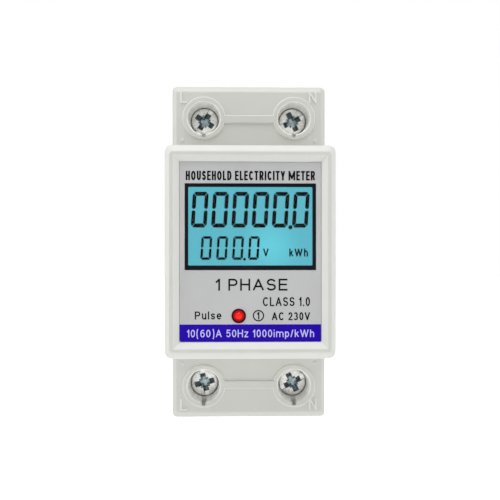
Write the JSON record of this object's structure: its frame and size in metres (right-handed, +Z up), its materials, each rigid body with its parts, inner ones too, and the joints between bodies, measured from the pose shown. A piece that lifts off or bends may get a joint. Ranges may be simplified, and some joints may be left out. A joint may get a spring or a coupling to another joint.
{
  "type": "electricity meter",
  "caption": "Narrow DIN-rail electricity meter with a raised display nose, corner screw terminals with lifting clamps, and a sprung rail latch.",
  "frame": {"origin": "centre of the flat seat that lies against the front of the DIN rail", "axes": "+X to the right as seen from the front, +Y to the rear towards the rail, +Z up; the display faces -Y"},
  "size_m": [0.036, 0.064, 0.0802],
  "materials": {
    "housing": "light warm grey ABS, fine even texture",
    "latch": "light grey ABS, smooth",
    "label": "pale grey printed face plate, satin",
    "black_trim": "black moulded trim, satin",
    "clear_window": "clear polished acrylic",
    "polariser": "thin polariser film, satin",
    "lcd_glass": "clear display glass",
    "backlight": "diffusing acrylic lit cyan",
    "white_plastic": "white moulded plastic",
    "circuit_board": "green solder mask on glass-epoxy laminate",
    "zinc_steel": "zinc-plated steel",
    "spring_steel": "bright drawn spring wire",
    "copper": "bare copper strip, lightly brushed",
    "manganin": "manganin resistance strip, brushed",
    "black_component": "black moulding compound and sleeve",
    "blue_box": "blue moulded box of a film capacitor",
    "blue_epoxy": "blue epoxy dip coat",
    "lamp_lens": "red tinted epoxy lens, polished",
    "white_insulation": "white silicone insulation",
    "brown_insulation": "brown silicone insulation",
    "red_insulation": "red silicone insulation",
    "blue_insulation": "blue silicone insulation"
  },
  "bodies": {
    "housing": {"rear_housing": "housing", "front_cover": "housing", "case_screw_upper": "zinc_steel", "case_screw_lower": "zinc_steel", "face_label": "label", "display_mask": "black_trim", "led_ring": "black_trim", "display_window": "clear_window", "lcd_front_polariser": "polariser", "lcd_front_glass": "lcd_glass", "lcd_rear_glass": "lcd_glass", "lcd_rear_polariser": "polariser", "backlight_guide": "backlight", "backlight_reflector": "white_plastic", "lcd_holder": "white_plastic", "lcd_pins_upper": "zinc_steel", "lcd_pins_lower": "zinc_steel", "pulse_lamp": "lamp_lens", "main_board": "circuit_board", "metering_chip": "black_component", "microcontroller": "black_component", "optocoupler": "black_component", "crystal": "zinc_steel", "film_capacitor": "blue_box", "smoothing_capacitor": "black_component", "varistor": "blue_epoxy", "rectifier_diode_upper": "black_component", "rectifier_diode_lower": "black_component", "line_in_bar": "copper", "line_out_bar": "copper", "current_shunt": "manganin", "neutral_bar": "copper", "shunt_lead_in": "white_insulation", "shunt_lead_out": "brown_insulation", "voltage_lead_line": "red_insulation", "voltage_lead_neutral": "blue_insulation", "latch_spring": "spring_steel", "board_screw_upper_left": "zinc_steel", "board_screw_upper_right": "zinc_steel", "board_screw_lower_left": "zinc_steel", "board_screw_lower_right": "zinc_steel"},
    "screw_line_in": {"screw_line_in": "zinc_steel"},
    "cage_line_in": {"cage_line_in": "zinc_steel"},
    "screw_neutral_in": {"screw_neutral_in": "zinc_steel"},
    "cage_neutral_in": {"cage_neutral_in": "zinc_steel"},
    "screw_line_out": {"screw_line_out": "zinc_steel"},
    "cage_line_out": {"cage_line_out": "zinc_steel"},
    "screw_neutral_out": {"screw_neutral_out": "zinc_steel"},
    "cage_neutral_out": {"cage_neutral_out": "zinc_steel"},
    "latch": {"rail_latch": "latch"}
  },
  "joints": [
    {"name": "screw_line_in_turn", "type": "hinge", "parent": "housing", "child": "screw_line_in", "pos_m": [-0.0106, -0.0356, 0.0315], "axis": [0, 1, 0], "range_deg": [0, 2880]},
    {"name": "cage_line_in_lift", "type": "slide", "parent": "housing", "child": "cage_line_in", "axis": [0, -1, 0], "range_m": [0, 0.0064]},
    {"name": "screw_neutral_in_turn", "type": "hinge", "parent": "housing", "child": "screw_neutral_in", "pos_m": [0.0106, -0.0356, 0.0315], "axis": [0, 1, 0], "range_deg": [0, 2880]},
    {"name": "cage_neutral_in_lift", "type": "slide", "parent": "housing", "child": "cage_neutral_in", "axis": [0, -1, 0], "range_m": [0, 0.0064]},
    {"name": "screw_line_out_turn", "type": "hinge", "parent": "housing", "child": "screw_line_out", "pos_m": [-0.0106, -0.0356, -0.0315], "axis": [0, 1, 0], "range_deg": [0, 2880]},
    {"name": "cage_line_out_lift", "type": "slide", "parent": "housing", "child": "cage_line_out", "axis": [0, -1, 0], "range_m": [0, 0.0064]},
    {"name": "screw_neutral_out_turn", "type": "hinge", "parent": "housing", "child": "screw_neutral_out", "pos_m": [0.0106, -0.0356, -0.0315], "axis": [0, 1, 0], "range_deg": [0, 2880]},
    {"name": "cage_neutral_out_lift", "type": "slide", "parent": "housing", "child": "cage_neutral_out", "axis": [0, -1, 0], "range_m": [0, 0.0064]},
    {"name": "latch_slide", "type": "slide", "parent": "housing", "child": "latch", "axis": [0, 0, -1], "range_m": [0, 0.004], "stiffness_N_per_m": 1500, "springref_m": -0.001, "deforming": ["latch_spring"]}
  ],
  "couplings": [
    {"joint": "screw_line_in_turn", "follows": "cage_line_in_lift", "rad_per_m": 7854},
    {"joint": "screw_neutral_in_turn", "follows": "cage_neutral_in_lift", "rad_per_m": 7854},
    {"joint": "screw_line_out_turn", "follows": "cage_line_out_lift", "rad_per_m": 7854},
    {"joint": "screw_neutral_out_turn", "follows": "cage_neutral_out_lift", "rad_per_m": 7854}
  ]
}
